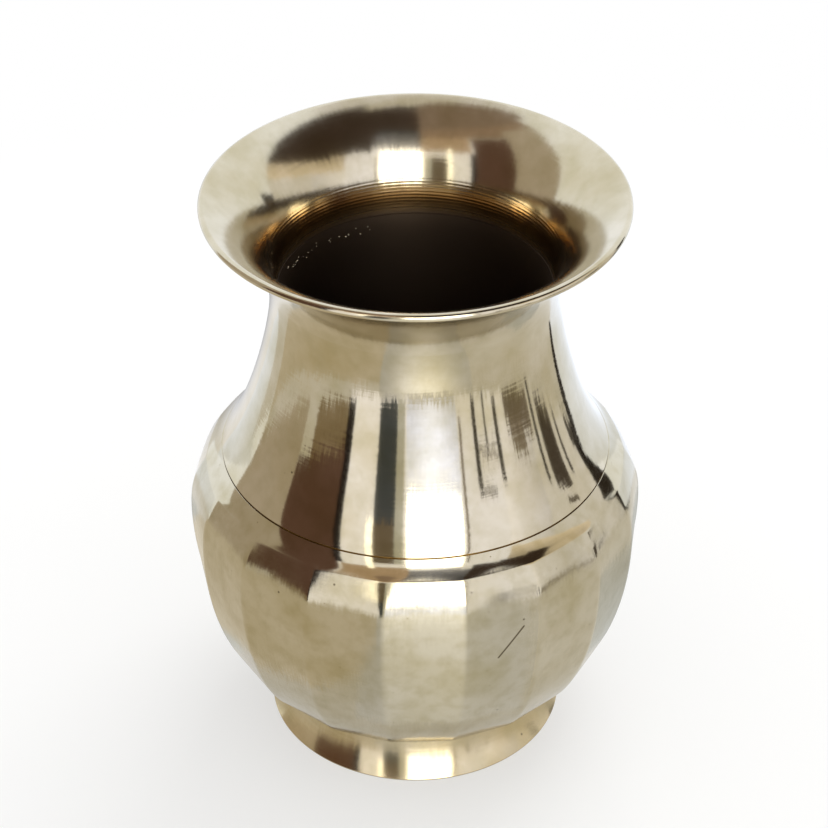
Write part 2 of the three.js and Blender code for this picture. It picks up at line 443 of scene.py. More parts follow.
# %% Patterns
MARK_ROUGHNESS = 0.6
CLOUD_DETAIL = 4.0
PIT_CORE = 0.3
PITTED_ABOVE = 0.7


def new_material(name):
    material = bpy.data.materials.new(name)
    material.use_nodes = True
    material.node_tree.nodes.clear()
    return material, material.node_tree


def round_the_axis(tree):
    """The level direction from the axis to the surface, one unit long."""
    place = add(tree, "ShaderNodeTexCoord").outputs["Object"]
    level = add(tree, VECTOR_MATH, {0: place, 1: (1, 1, 0)}, operation="MULTIPLY")
    return add(tree, VECTOR_MATH, {0: level}, operation="NORMALIZE")


def marks(tree, radius, round_step, along_step, detail=2.0):
    """Noise drawn out into marks, by its length round the pot and along the outline, in millimetres."""
    around = add(tree, VECTOR_MATH, {0: round_the_axis(tree), "Scale": radius / round_step},
                 operation="SCALE")
    along = add(tree, "ShaderNodeAttribute", attribute_name="along").outputs["Fac"]
    along = add(tree, MATH, {0: along, 1: along_step}, operation="DIVIDE")
    lift = add(tree, "ShaderNodeCombineXYZ", {2: along})
    spot = add(tree, VECTOR_MATH, {0: around, 1: lift}, operation="ADD")
    return add(tree, "ShaderNodeTexNoise",
               {"Vector": spot, "Scale": 1.0, "Detail": detail, "Roughness": MARK_ROUGHNESS})


def clouds(tree, size, low, high):
    """Soft patches of a size in millimetres, 0 below the low level and 1 above the high one."""
    place = add(tree, "ShaderNodeTexCoord").outputs["Object"]
    noise = add(tree, "ShaderNodeTexNoise",
                {"Vector": place, "Scale": 1 / (size * MM), "Detail": CLOUD_DETAIL})
    return add(tree, "ShaderNodeMapRange", {"Value": noise, "From Min": low, "From Max": high})


def pits(tree, spacing, size):
    """Small pits: 1 in the middle of a pit, 0 between pits, one in a few cells of the spacing."""
    place = add(tree, "ShaderNodeTexCoord").outputs["Object"]
    cells = add(tree, "ShaderNodeTexVoronoi", {"Vector": place, "Scale": 1 / (spacing * MM)})
    edge = size / 2 / spacing
    spot = add(tree, "ShaderNodeMapRange",
               {"Value": cells.outputs["Distance"], "From Min": edge, "From Max": edge * PIT_CORE})
    kind = add(tree, "ShaderNodeSeparateXYZ", {0: cells.outputs["Color"]})
    chosen = add(tree, MATH, {0: kind, 1: PITTED_ABOVE}, operation="GREATER_THAN")
    return add(tree, MATH, {0: spot, 1: chosen}, operation="MULTIPLY")


# %% [markdown]
# ## How a pattern meets the light
# A pattern can do two things. It can lay one colour over another, or it can tip the surface so that
# each mark mirrors a slightly different direction. A Bump node could tip it, but it needs a height
# and guesses the slope between pixels. Here each mark is given the angle that it really tips by.

# %% Colour and tilt
UPRIGHT = (0, 0, 1)
NOISE_LOW = 0.25
NOISE_HIGH = 0.75
QUARTER_TURN = 0.25


def layered(tree, base, layers):
    """A hex colour with others laid over it in turn, each as where it shows and a hex colour."""
    colour = linear(base)
    for share, code in layers:
        colour = add(tree, "ShaderNodeMix", {0: share, 6: colour, 7: linear(code)}, data_type="RGBA")
    return colour


def sideways(tree):
    """The level direction along the surface, at right angles to the way out from the axis."""
    return add(tree, VECTOR_MATH, {0: UPRIGHT, 1: round_the_axis(tree)}, operation="CROSS_PRODUCT")


def tipped(tree, leans):
    """The surface direction, tipped by marks. Each lean is (marks, direction, most it tips in degrees)."""
    normal = add(tree, "ShaderNodeNewGeometry").outputs["Normal"]
    for mark, direction, most in leans:
        swing = math.tan(math.radians(most))
        share = add(tree, "ShaderNodeMapRange",
                    {"Value": mark, "From Min": NOISE_LOW, "From Max": NOISE_HIGH,
                     "To Min": -swing, "To Max": swing})
        push = add(tree, VECTOR_MATH, {0: direction, "Scale": share}, operation="SCALE")
        normal = add(tree, VECTOR_MATH, {0: normal, 1: push}, operation="ADD")
    return add(tree, VECTOR_MATH, {0: normal}, operation="NORMALIZE")


def combed_metal(tree, colour, metallic, rough, normal, combed):
    """Ends a metal whose lines round the pot blur a mirror image up and down, but not from side to side."""
    tangent = add(tree, "ShaderNodeTangent", direction_type="RADIAL", axis="Z")
    shader = add(tree, "ShaderNodeBsdfPrincipled",
                 {"Base Color": colour, "Metallic": metallic, "Roughness": rough, "Normal": normal,
                  "Anisotropic": combed, "Anisotropic Rotation": QUARTER_TURN, "Tangent": tangent})
    add(tree, "ShaderNodeOutputMaterial", {"Surface": shader})


# %% [markdown]
# ## Buffed brass: the mouth, the neck and the foot
# These were turned and then buffed on a spinning mop. That leaves a pale, almost silvery yellow with
# very fine lines round the pot, which blur a reflection up and down: that is anisotropy. Single deeper
# lines tip the surface a little, and so the edges of reflections look combed. Handling has mottled the
# metal with faint olive patches and a few pits. Down in the throat, where no mop reaches, it first
# turns golden, which is partly real tarnish and partly a painted golden reflection of the throat's own
# walls, then brown, and only at the end does it also lose its shine. Real buffing lines lie
# about a tenth of a millimetre apart. That is finer than a pixel, so they are drawn coarser here.

# %% Buffed brass
LINE_SPACING = 0.45
LINE_LENGTH = 18
STROKE_SPACING = 0.5
STROKE_LENGTH = 5
SIDE_TIP_SHARE = 0.25
ROUGHNESS_SPREAD = 0.03
OLIVE = "#8F845A"
PIT_BROWN = "#4E4028"
# The throat's golden colour is partly real tarnish and partly a painted reflection of its golden walls.
TARNISH_AND_GOLD_REFLECTION = "#B08F5E"
TARNISH_AND_GOLD_REFLECTION_FULL = 0.5
OXIDE = "#5E4F40"
OXIDE_START = 0.7
OXIDE_METALLIC = 0.95
OXIDE_ROUGHNESS = 0.42
DULLING_POWER = 4.0


def buffed_brass(name, radius, pale, warm, roughness, combed, line_tip, stroke_tip):
    metal, tree = new_material(name)
    inside = add(tree, "ShaderNodeAttribute", attribute_name="inside").outputs["Fac"]
    # How far down the throat the tarnish and the painted golden reflection have come in.
    tarnish_and_gold_reflection = add(tree, "ShaderNodeMapRange", {"Value": inside, "From Max": TARNISH_AND_GOLD_REFLECTION_FULL})
    oxidised = add(tree, "ShaderNodeMapRange", {"Value": inside, "From Min": OXIDE_START})
    colour = layered(tree, pale, [(clouds(tree, size=16, low=0.4, high=0.75), warm),
                                  (clouds(tree, size=5, low=0.42, high=1.5), OLIVE),
                                  (pits(tree, spacing=9, size=0.7), PIT_BROWN),
                                  (tarnish_and_gold_reflection, TARNISH_AND_GOLD_REFLECTION), (oxidised, OXIDE)])
    metallic = add(tree, "ShaderNodeMapRange",
                   {"Value": oxidised, "To Min": 1.0, "To Max": OXIDE_METALLIC})
    lines = marks(tree, radius, LINE_LENGTH, LINE_SPACING)
    strokes = marks(tree, radius, STROKE_SPACING, STROKE_LENGTH)
    rough = add(tree, "ShaderNodeMapRange", {"Value": lines, "To Min": roughness - ROUGHNESS_SPREAD,
                                             "To Max": roughness + ROUGHNESS_SPREAD})
    dull = add(tree, MATH, {0: inside, 1: DULLING_POWER}, operation="POWER")
    rough = add(tree, "ShaderNodeMix", {0: dull, 2: rough, 3: OXIDE_ROUGHNESS}, data_type="FLOAT")
    normal = tipped(tree, [(lines, UPRIGHT, line_tip), (strokes, UPRIGHT, stroke_tip),
                           (lines, sideways(tree), line_tip * SIDE_TIP_SHARE)])
    combed_metal(tree, colour, metallic, rough, normal, combed)
    return metal


mouth_metal = buffed_brass("buffed_brass_mouth", radius=40, pale="#B9AE95", warm="#A89B7B",
                           roughness=0.14, combed=0.6, line_tip=0.6, stroke_tip=1.0)
neck_metal = buffed_brass("buffed_brass_neck", radius=36, pale="#B8AD94", warm="#A2946E",
                          roughness=0.09, combed=0.6, line_tip=0.8, stroke_tip=1.0)
foot_metal = buffed_brass("turned_brass_foot", radius=33, pale="#BAAB8A", warm="#AE9B70",
                          roughness=0.18, combed=0.85, line_tip=0.9, stroke_tip=1.2)
print("metals:", mouth_metal.name, neck_metal.name, foot_metal.name)

# %% [markdown]
# ## A scratch
# Use has left one long scratch on the front. It could be cut into the mesh, but it is far thinner than
# the mesh's faces, so the shader draws it: dark where the surface lies near a line in the front view.

# %% Scratch
SCRATCH_START = (22.4, 57.2)
SCRATCH_END = (16.8, 49.7)
SCRATCH_WIDTH = 0.3
SCRATCH_CORE = 0.25


def scratch(tree):
    """1 on a line on the front of the pot, and 0 away from it."""
    place = add(tree, "ShaderNodeTexCoord").outputs["Object"]
    seen = add(tree, VECTOR_MATH, {0: place, 1: (1, 0, 1)}, operation="MULTIPLY")
    start, end = [Vector((x, 0, z)) * MM for x, z in (SCRATCH_START, SCRATCH_END)]
    line = end - start
    away = add(tree, VECTOR_MATH, {0: seen, 1: start}, operation="SUBTRACT")
    share = add(tree, VECTOR_MATH, {0: away, 1: line / line.length_squared},
                operation="DOT_PRODUCT").outputs["Value"]
    held = add(tree, MATH, {0: share, 1: 0.0}, operation="ADD", use_clamp=True)
    nearest = add(tree, VECTOR_MATH, {0: tuple(line), "Scale": held}, operation="SCALE")
    gap = add(tree, VECTOR_MATH, {0: away, 1: nearest}, operation="DISTANCE").outputs["Value"]
    cut = add(tree, "ShaderNodeMapRange", {"Value": gap, "From Min": SCRATCH_WIDTH * MM,
                                           "From Max": SCRATCH_WIDTH * MM * SCRATCH_CORE})
    depth = add(tree, "ShaderNodeSeparateXYZ", {0: place}).outputs["Y"]
    front = add(tree, MATH, {0: depth, 1: 0.0}, operation="LESS_THAN")
    return add(tree, MATH, {0: cut, 1: front}, operation="MULTIPLY")


# %% [markdown]
# ## Ground brass: the panels
# The panels were ground flat with upright strokes and then lightly buffed, so they are satin: part of
# the surface still mirrors and part scatters, line by line. The strokes make the upper and lower edges
# of a reflection look ragged. Above the panels the wheel took nothing off, and there the bowl is as
# bright as the neck. The metal has faint olive patches, specks and pits. The grit of a wheel leaves
# strokes finer than a pixel, so strokes and scuffs are drawn coarser here.

# %% Ground brass
GRIND_SPACING = 0.4
GRIND_LENGTH = 3
GRIND_TIP = 2.2
GRIND_SIDE_TIP = 0.8
LINE_TIP = 0.9
SCUFF_LENGTH = 4
SCUFF_SPACING = 0.18
SCUFF_LOW = 0.3
SCUFF_HIGH = 0.7
SATIN_LEAST = 0.14
SATIN_MOST = 0.21
POLISHED = 0.09
LEVEL_NOISE = 0.5
COMBED = 0.6


def ground_brass():
    metal, tree = new_material("ground_brass_panels")
    inside = add(tree, "ShaderNodeAttribute", attribute_name="inside").outputs["Fac"]
    ground = add(tree, "ShaderNodeAttribute", attribute_name="ground").outputs["Fac"]
    colour = layered(tree, "#B3A990", [(clouds(tree, size=14, low=0.4, high=0.75), "#A39775"),
                                       (clouds(tree, size=3.5, low=0.45, high=1.5), "#8F835C"),
                                       (pits(tree, spacing=3, size=0.4), "#7C6E4A"),
                                       (pits(tree, spacing=6, size=0.7), PIT_BROWN),
                                       (scratch(tree), PIT_BROWN), (inside, OXIDE)])
    metallic = add(tree, "ShaderNodeMapRange", {"Value": inside, "To Min": 1.0, "To Max": OXIDE_METALLIC})
    scuffs = marks(tree, belly_radius, SCUFF_LENGTH, SCUFF_SPACING, detail=1.0)
    satin = add(tree, "ShaderNodeMapRange", {"Value": scuffs, "From Min": SCUFF_LOW, "From Max": SCUFF_HIGH,
                                             "To Min": SATIN_LEAST, "To Max": SATIN_MOST})
    rough = add(tree, "ShaderNodeMix", {0: ground, 2: POLISHED, 3: satin}, data_type="FLOAT")
    rough = add(tree, "ShaderNodeMix", {0: inside, 2: rough, 3: OXIDE_ROUGHNESS}, data_type="FLOAT")
    strokes = marks(tree, belly_radius, GRIND_SPACING, GRIND_LENGTH)
    strokes = add(tree, "ShaderNodeMix", {0: ground, 2: LEVEL_NOISE, 3: strokes}, data_type="FLOAT")
    lines = marks(tree, belly_radius, LINE_LENGTH, LINE_SPACING)
    normal = tipped(tree, [(strokes, UPRIGHT, GRIND_TIP), (strokes, sideways(tree), GRIND_SIDE_TIP),
                           (lines, UPRIGHT, LINE_TIP)])
    combed_metal(tree, colour, metallic, rough, normal, COMBED)
    return metal


bowl_metal = ground_brass()
print("metal:", bowl_metal.name)

# %% [markdown]
# ## Braze filler
# Filler is a brass that melts at a lower heat. It is never buffed, so it is duller and browner than
# the walls, except in the fresh beads inside the neck. Where it shows it is a hair line, so soft
# patches of two colours are enough.


# %% Braze filler
def braze_filler(name, light, dark, roughness):
    metal, tree = new_material(name)
    inside = add(tree, "ShaderNodeAttribute", attribute_name="inside").outputs["Fac"]
    colour = layered(tree, light, [(clouds(tree, size=4, low=0.35, high=0.7), dark), (inside, OXIDE)])
    shader = add(tree, "ShaderNodeBsdfPrincipled",
                 {"Base Color": colour, "Metallic": 1.0, "Roughness": roughness})
    add(tree, "ShaderNodeOutputMaterial", {"Surface": shader})
    return metal


filler_metal = braze_filler("braze_filler", light="#9C7E48", dark="#6E5228", roughness=0.4)
bead_metal = braze_filler("bright_filler_beads", light="#C4BAA6", dark="#A89C84", roughness=0.3)
print("metals:", filler_metal.name, bead_metal.name)

# %% [markdown]
# ## Flared mouth
# One round sweep carries the wall from the upright waist out to the lip, and the lip is a half round.
# A free curve could come close, but an arc is what a round former gives on the lathe, and both faces
# of the wall share its centre. The lowest part of the inside keeps shallow turning ripples, and there
# the metal darkens step by step, so each point of that stretch has its own share of the dark inside.

# %% Mouth
WALL = 1.8
WAIST_RADIUS = 32.6
MOUTH_RISE = 24.5
RIPPLED_HEIGHT = 8
RIPPLE_PITCH = 0.75
RIPPLE_DEPTH = 0.008
ROUND_COLUMNS = 360
FLARE_STEPS = 48
LIP_STEPS = 20
INSIDE_STEPS = 60
THROAT_STEPS = 56

waist_level = rim_level - MOUTH_RISE
lip_centre = at(rim_radius - WALL / 2, rim_level - WALL / 2)
flare_run = lip_centre.x - (WAIST_RADIUS - WALL / 2)
flare_rise = lip_centre.y - waist_level
flare_sweep = 2 * math.atan(flare_run / flare_rise)
flare_radius = flare_rise / math.sin(flare_sweep)
flare_centre = at(WAIST_RADIUS - WALL / 2 + flare_radius, waist_level)
outer_flare = flare_radius - WALL / 2
inner_flare = flare_radius + WALL / 2


def flare_angle(radius, level):
    """The direction from the flare's centre to the point of one face at a level."""
    return math.pi - math.asin((level - waist_level) / radius)


def make_mouth():
    lip_angle = math.pi - flare_sweep
    outside = arc(flare_centre, outer_flare, flare_angle(outer_flare, lap_top), lip_angle, FLARE_STEPS)
    lip = arc(lip_centre, WALL / 2, lip_angle - math.pi, lip_angle, LIP_STEPS)
    throat_angle = flare_angle(inner_flare, lap_floor + RIPPLED_HEIGHT)
    inside = arc(flare_centre, inner_flare, lip_angle, throat_angle, INSIDE_STEPS)
    throat = arc(flare_centre, inner_flare, throat_angle, flare_angle(inner_flare, lap_floor), THROAT_STEPS)
    for i, point in enumerate(throat):
        wave = i * (throat[1] - throat[0]).length / RIPPLE_PITCH
        point.x += RIPPLE_DEPTH * math.sin(math.tau * wave)
    darkening = [([point], i / len(throat)) for i, point in enumerate(throat)]
    bottom = at(lap_radius, lap_floor)
    stretches = [([bottom, at(lap_radius, lap_top)], 1.0), (outside, 0.0), (lip[1:], 0.0), (inside[1:], 0.0)]
    stretches += darkening[1:] + [([bottom], 1.0)]
    return turned("buffed_mouth", stretches, ROUND_COLUMNS, mouth_metal)


mouth = make_mouth()

# %% [markdown]
# ## Neck
# A long hollow curve from the shoulder to the waist. Its foot is a spigot that slips into the bowl's
# collar, and its top is a thin sleeve round the mouth. A Subdivision Surface could round a coarse
# shell, but it would soften the laps too. A curve with a set lean at each end rounds only the wall.

# %% Neck
FILM = 0.3
JOINT_CLEARANCE = 0.15
SLEEVE_WALL = 0.75
COLLAR_WALL = 1.5
SPIGOT_WALL = 1.2
SHOULDER_SLOPE = 0.75
SHOULDER_PULL = 10
WAIST_PULL = 9
NECK_STEPS = 80
SLEEVE_STEPS = 10
REBATE_STEPS = 4

sleeve_bore = WAIST_RADIUS - SLEEVE_WALL
shoulder_lip = neck_base_radius + FILM * SHOULDER_SLOPE
spigot_radius = shoulder_lip - COLLAR_WALL - JOINT_CLEARANCE
spigot_bore = spigot_radius - SPIGOT_WALL
shoulder_lean = math.degrees(math.atan(SHOULDER_SLOPE))


def make_neck():
    base = at(neck_base_radius, shoulder_level)
    waist = at(WAIST_RADIUS, waist_level)
    outside = curve(base, leaning(base, -shoulder_lean, SHOULDER_PULL), leaning(waist, 0, -WAIST_PULL),
                    waist, NECK_STEPS)
    sleeve = arc(flare_centre, outer_flare, math.pi, flare_angle(outer_flare, lap_top), SLEEVE_STEPS)
    rebate = arc(flare_centre, inner_flare, flare_angle(inner_flare, rebate_floor), math.pi, REBATE_STEPS)
    inside = [p for p in reversed(inset(outside, WALL)) if p.x < spigot_bore]
    bottom = at(spigot_bore, spigot_level)
    stretches = [
        ([bottom, at(spigot_radius, spigot_level), at(spigot_radius, shoulder_level)], 1.0),
        (outside, 0.0),
        (sleeve[1:], 0.0),
        ([at(sleeve_bore, lap_top), at(sleeve_bore, rebate_floor)], 1.0),
        (rebate + inside[1:], 1.0),
        ([at(spigot_bore, shoulder_level), bottom], 1.0),
    ]
    return turned("buffed_neck", stretches, ROUND_COLUMNS, neck_metal)


neck = make_neck()

# %% [markdown]
# ## The bowl's outline
# The outline of the bowl is the line of a ridge, from the seat on the foot out to the widest part and
# in again to the ridge's end. Above that a short shoulder, slightly fuller than a straight cone, leads
# to the joint. Each stroke is one curve, so the reflections run over the bowl without a break.

# %% Bowl outline
SEAT_MARGIN = 0.8
SEAT_LEAN = 79.5
SEAT_PULL = 14.25
BELLY_RISE = 44.1
BELLY_LOWER_PULL = 18.5
BELLY_UPPER_PULL = 8
RIDGE_END_RADIUS = 48.6
RIDGE_END_DROP = 3.75
RIDGE_END_LEAN = 32
RIDGE_END_PULL = 5
SHOULDER_FOOT_LEAN = 56
SHOULDER_FOOT_PULL = 2.3
SHOULDER_TOP_LEAN = 36
SHOULDER_TOP_PULL = 0.9
LOWER_STEPS = 70
UPPER_STEPS = 30
SHOULDER_STEPS = 24


def bowl_strokes():
    """The lower and the upper part of a ridge, and the shoulder above it."""
    seat = at(fillet_radius + SEAT_MARGIN, seat_level)
    widest = at(belly_radius, seat_level + BELLY_RISE)
    ridge_end = at(RIDGE_END_RADIUS, collar_level - RIDGE_END_DROP)
    lip = at(shoulder_lip, collar_level)
    lower = curve(seat, leaning(seat, SEAT_LEAN, SEAT_PULL), leaning(widest, 0, -BELLY_LOWER_PULL),
                  widest, LOWER_STEPS)
    upper = curve(widest, leaning(widest, 0, BELLY_UPPER_PULL),
                  leaning(ridge_end, -RIDGE_END_LEAN, -RIDGE_END_PULL), ridge_end, UPPER_STEPS)
    shoulder = curve(ridge_end, leaning(ridge_end, -SHOULDER_FOOT_LEAN, SHOULDER_FOOT_PULL),
                     leaning(lip, -SHOULDER_TOP_LEAN, -SHOULDER_TOP_PULL), lip, SHOULDER_STEPS)
    return lower, upper[1:], shoulder[1:]


# %% [markdown]
# ## The panels
# Every panel's face lies inside the ridges by the same share of the radius. Near the seat the panels
# fade into the round. Near their tops the wheel only brushed the metal, so there the faces are a little
# crowned, and above the ridges' ends they lean inwards and die out on the shoulder. Eighteen flat cuts
# with a Boolean would do for the belly, but they would leave no rounded ridges and no crown.

# %% Panels
SEAT_FADE = 18
TOP_LEAN = 22
TOP_FLATNESS = 0.4
half_panel = math.pi / PANELS


def panel_faces(ridge, shoulder):
    """How far from the axis the middle of a panel's face lies, for each point of ridge and shoulder."""
    depths = [min(1, i / SEAT_FADE) for i in range(len(ridge))]
    cuts = [p.x * (1 - (1 - math.cos(half_panel)) * depth) for p, depth in zip(ridge, depths)]
    slope = math.tan(math.radians(TOP_LEAN))
    return cuts + [cuts[-1] - slope * (p.y - ridge[-1].y) for p in shoulder]


def panel_flatness(lower, upper, shoulder):
    """How flat a face is: quite flat up to the widest part, and then more and more crowned."""
    rise = [(i + 1) / len(upper) for i in range(len(upper))]
    crown = [FLAT - (FLAT - TOP_FLATNESS) * t * t * (3 - 2 * t) for t in rise]
    return [FLAT] * len(lower) + crown + [TOP_FLATNESS] * len(shoulder)


# %% [markdown]
# ## The whole bowl
# Underneath, a boss drops into the foot, and at the top a collar takes the neck's spigot. The inside
# follows the flats at the distance of the wall. It is hardly seen, so every third point is enough.

# %% Bowl
FOOT_WAIST_RADIUS = 30.4
FOOT_WALL = 2.2
COLLAR_DEPTH = 2.85
FLOOR_THICKNESS = 3
INNER_THINNING = 3
PANEL_COLUMNS = 24
boss_radius = FOOT_WAIST_RADIUS - FOOT_WALL - JOINT_CLEARANCE


def make_bowl():
    lower, upper, shoulder = bowl_strokes()
    ridge = lower + upper
    flats = [at(p.x * math.cos(half_panel), p.y) for p in ridge]
    floor_level = boss_level + FLOOR_THICKNESS
    collar_bore = shoulder_lip - COLLAR_WALL
    boss = [at(0, boss_level), at(boss_radius, boss_level), at(boss_radius, seat_level)]
    hollow = [at(collar_bore, collar_level), at(collar_bore, collar_level - COLLAR_DEPTH)]
    hollow += [p for p in reversed(inset(flats, WALL)[::INNER_THINNING]) if p.y > floor_level]
    hollow += [at(ridge[0].x - WALL, floor_level), at(0, floor_level)]
    faces = [NO_PANEL] * len(boss) + panel_faces(ridge, shoulder) + [NO_PANEL] * len(hollow)
    flatness = [FLAT] * len(boss) + panel_flatness(lower, upper, shoulder) + [FLAT] * len(hollow)
    stretches = [(boss, 1.0), (ridge + shoulder, 0.0), (hollow, 1.0)]
    return turned("panelled_bowl", stretches, PANELS * PANEL_COLUMNS, bowl_metal, faces, flatness)


bowl = make_bowl()

# %% [markdown]
# ## Foot
# A turned ring that spreads out to the ground, open underneath. Its edge is rounded, because a sharp
# one would scratch a table. A Bevel modifier could round it, but an arc in the outline is simpler.

# %% Foot
FOOT_EDGE = 0.6
FOOT_EDGE_LEAN = 39
FOOT_EDGE_PULL = 3.6
FOOT_WAIST_LEAN = 9
FOOT_WAIST_PULL = 5.2
FOOT_STEPS = 32
EDGE_STEPS = 8


def make_foot():
    edge = at(foot_radius, FOOT_EDGE)
    waist = at(FOOT_WAIST_RADIUS, foot_top)
    rounded = arc(at(foot_radius - FOOT_EDGE, FOOT_EDGE), FOOT_EDGE, -math.pi / 2, 0, EDGE_STEPS)
    outside = curve(edge, leaning(edge, -FOOT_EDGE_LEAN, FOOT_EDGE_PULL),
                    leaning(waist, -FOOT_WAIST_LEAN, -FOOT_WAIST_PULL), waist, FOOT_STEPS)
    inner = [at(p.x - FOOT_WALL, p.y) for p in reversed(outside)]
    bottom = at(foot_radius - FOOT_WALL, ground_level)
    stretches = [([bottom], 0.0), (rounded, 0.0), (outside[1:], 0.0), (inner[:-1], 1.0), ([bottom], 1.0)]
    return turned("spread_foot", stretches, ROUND_COLUMNS, foot_metal)


foot = make_foot()

# %% [markdown]
# ## Filler rings
# Each joint holds a film of filler. On the shoulder it shows as a fine golden brown line, and at the
# foot as a small fillet. A dark line could be painted on the walls instead, but the joint is real, and
# so is the ring: four corners, turned like everything else.

# %% Filler rings
FILM_RECESS = 0.15


def filler_ring(name, level, inner, lower, upper, inside=0.0):
    corners = [at(inner, level), at(lower, level), at(upper, level + FILM), at(inner, level + FILM),
               at(inner, level)]
    return turned(name, [(corners, inside)], ROUND_COLUMNS, filler_metal)


neck_filler = filler_ring("neck_filler", rebate_floor, WAIST_RADIUS - WALL + FILM_RECESS,
                          lap_radius, lap_radius, inside=1.0)
shoulder_filler = filler_ring("shoulder_filler", collar_level, spigot_radius + JOINT_CLEARANCE,
                              filler_radius, filler_radius)
foot_filler = filler_ring("foot_filler", foot_top, FOOT_WAIST_RADIUS - FOOT_WALL,
                          FOOT_WAIST_RADIUS, fillet_radius)

# %% [markdown]
# ## Beads of filler
# While the neck was brazed, a little filler ran through the joint and froze on the wall below it, in a
# broken row of bright beads. They could be placed one by one, but a row like this follows a rule:
# anywhere round the wall, a little lower or higher, a little larger or smaller. Geometry Nodes draws
# those numbers from fixed seeds, so the row is the same each time.

# %% Beads
BEAD_COUNT = 30
BEADS_FROM = -165
BEADS_TO = -112
BEAD_FALL = 2.4
SMALLEST_BEAD = 0.08
LARGEST_BEAD = 0.22
BEAD_SUBDIVISIONS = 3
TURN_SEED = 3
FALL_SEED = 5
SIZE_SEED = 8
BEAD_INPUTS = (("Count", "Int"), ("From", "Float"), ("To", "Float"), ("Wall radius", "Float"),
               ("Top level", "Float"), ("Fall", "Float"), ("Smallest", "Float"), ("Largest", "Float"),
               ("Metal", "Material"))


def bead_tree():
    tree, given = new_tree("filler_beads", BEAD_INPUTS)
    turn, fall, size = [add(tree, "FunctionNodeRandomValue", {"Min": low, "Max": high, "Seed": seed},
                            data_type="FLOAT")
                        for low, high, seed in ((given["From"], given["To"], TURN_SEED),
                                                (0.0, given["Fall"], FALL_SEED),
                                                (given["Smallest"], given["Largest"], SIZE_SEED))]
    level = add(tree, MATH, {0: given["Top level"], 1: fall}, operation="SUBTRACT")
    height = add(tree, "ShaderNodeCombineXYZ", {2: level})
    place = add(tree, VECTOR_MATH, {0: way_out(tree, turn), 1: given["Wall radius"], 2: height},
                operation="MULTIPLY_ADD")
    spots = add(tree, "GeometryNodePoints", {"Count": given["Count"], "Position": place})
    ball = add(tree, "GeometryNodeMeshIcoSphere", {"Radius": 1.0, "Subdivisions": BEAD_SUBDIVISIONS})
    smooth = add(tree, "GeometryNodeSetShadeSmooth", {"Geometry": ball, "Shade Smooth": True}, domain="FACE")
    beads = add(tree, "GeometryNodeInstanceOnPoints", {"Points": spots, "Instance": smooth, "Scale": size})
    real = add(tree, "GeometryNodeRealizeInstances", {"Geometry": beads})
    metal = add(tree, "GeometryNodeSetMaterial", {"Geometry": real, "Material": given["Metal"]})
    add(tree, "NodeGroupOutput", {"Piece": metal})
    return tree


beads = placed("filler_beads", bpy.data.meshes.new("filler_beads"))
run_tree(beads, bead_tree(), {
    "Count": BEAD_COUNT, "From": math.radians(BEADS_FROM), "To": math.radians(BEADS_TO),
    "Wall radius": (WAIST_RADIUS - WALL) * MM, "Top level": waist_level * MM, "Fall": BEAD_FALL * MM,
    "Smallest": SMALLEST_BEAD * MM, "Largest": LARGEST_BEAD * MM, "Metal": bead_metal})

# %% [markdown]
# ## Joining the pieces to the model
# Nothing on a lota moves, so every piece rides on the one body, and each stands for the node it
# dresses. The beads belong to the filler but stand for no node of their own.

# %% Ride and replace
for piece, node, finish in (
    (mouth, "flared_mouth", "polished_brass"),
    (neck, "neck_shell", "polished_brass"),
    (bowl, "faceted_bowl", "ground_brass"),
    (foot, "foot_ring", "foot_brass"),
    (neck_filler, "neck_braze", "braze_filler"),
    (shoulder_filler, "shoulder_braze", "braze_filler"),
    (foot_filler, "foot_braze", "braze_filler"),
):
    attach(piece, "root")
    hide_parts(node)
    print(piece.name, "stands for", node)
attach(beads, "root")

# %% [markdown]
# ## Table and world
# The pot stands on a round white table in a white world. A plain white floor would go grey in the
# picture, so towards its edge the table glows white for rays that see it directly or in a mirror.
# Near the pot it stays half matt, and there it keeps the pot's soft shadow.

# %% Table and world
TABLE_RADIUS = 300
TABLE_FADE = 180
TABLE_SIDES = 128
TABLE_GAP = 0.05
NEAR_GLOW = 0.5
WHITE = "#FFFFFF"


def seen_directly(tree):
    """1 for rays that see the table directly, in a mirror or through glass, and 0 for soft light."""
    path = add(tree, "ShaderNodeLightPath").outputs
    seen = add(tree, MATH, {0: path["Is Camera Ray"], 1: path["Is Glossy Ray"]}, operation="ADD")
    return add(tree, MATH, {0: seen, 1: path["Is Transmission Ray"]}, operation="ADD")


def make_table():
    bpy.ops.mesh.primitive_circle_add(vertices=TABLE_SIDES, radius=TABLE_RADIUS * MM, fill_type="NGON",
                                      location=(0, 0, -TABLE_GAP * MM))
    table = bpy.context.object
    table.name = "table"
    paint, tree = new_material("matt_white_table")
    matt = add(tree, "ShaderNodeBsdfDiffuse", {"Color": linear("#E8E8E7")})
    white = add(tree, "ShaderNodeEmission", {"Strength": 1.0})
    place = add(tree, "ShaderNodeTexCoord").outputs["Object"]
    away = add(tree, VECTOR_MATH, {0: place}, operation="LENGTH").outputs["Value"]
    fade = add(tree, "ShaderNodeMapRange", {"Value": away, "From Min": TABLE_FADE * MM,
                                            "From Max": TABLE_RADIUS * MM, "To Min": NEAR_GLOW})
    share = add(tree, MATH, {0: seen_directly(tree), 1: fade}, operation="MULTIPLY",
                use_clamp=True)
    mixed = add(tree, "ShaderNodeMixShader", {0: share, 1: matt, 2: white})
    add(tree, "ShaderNodeOutputMaterial", {"Surface": mixed})
    table.data.materials.append(paint)
    return table


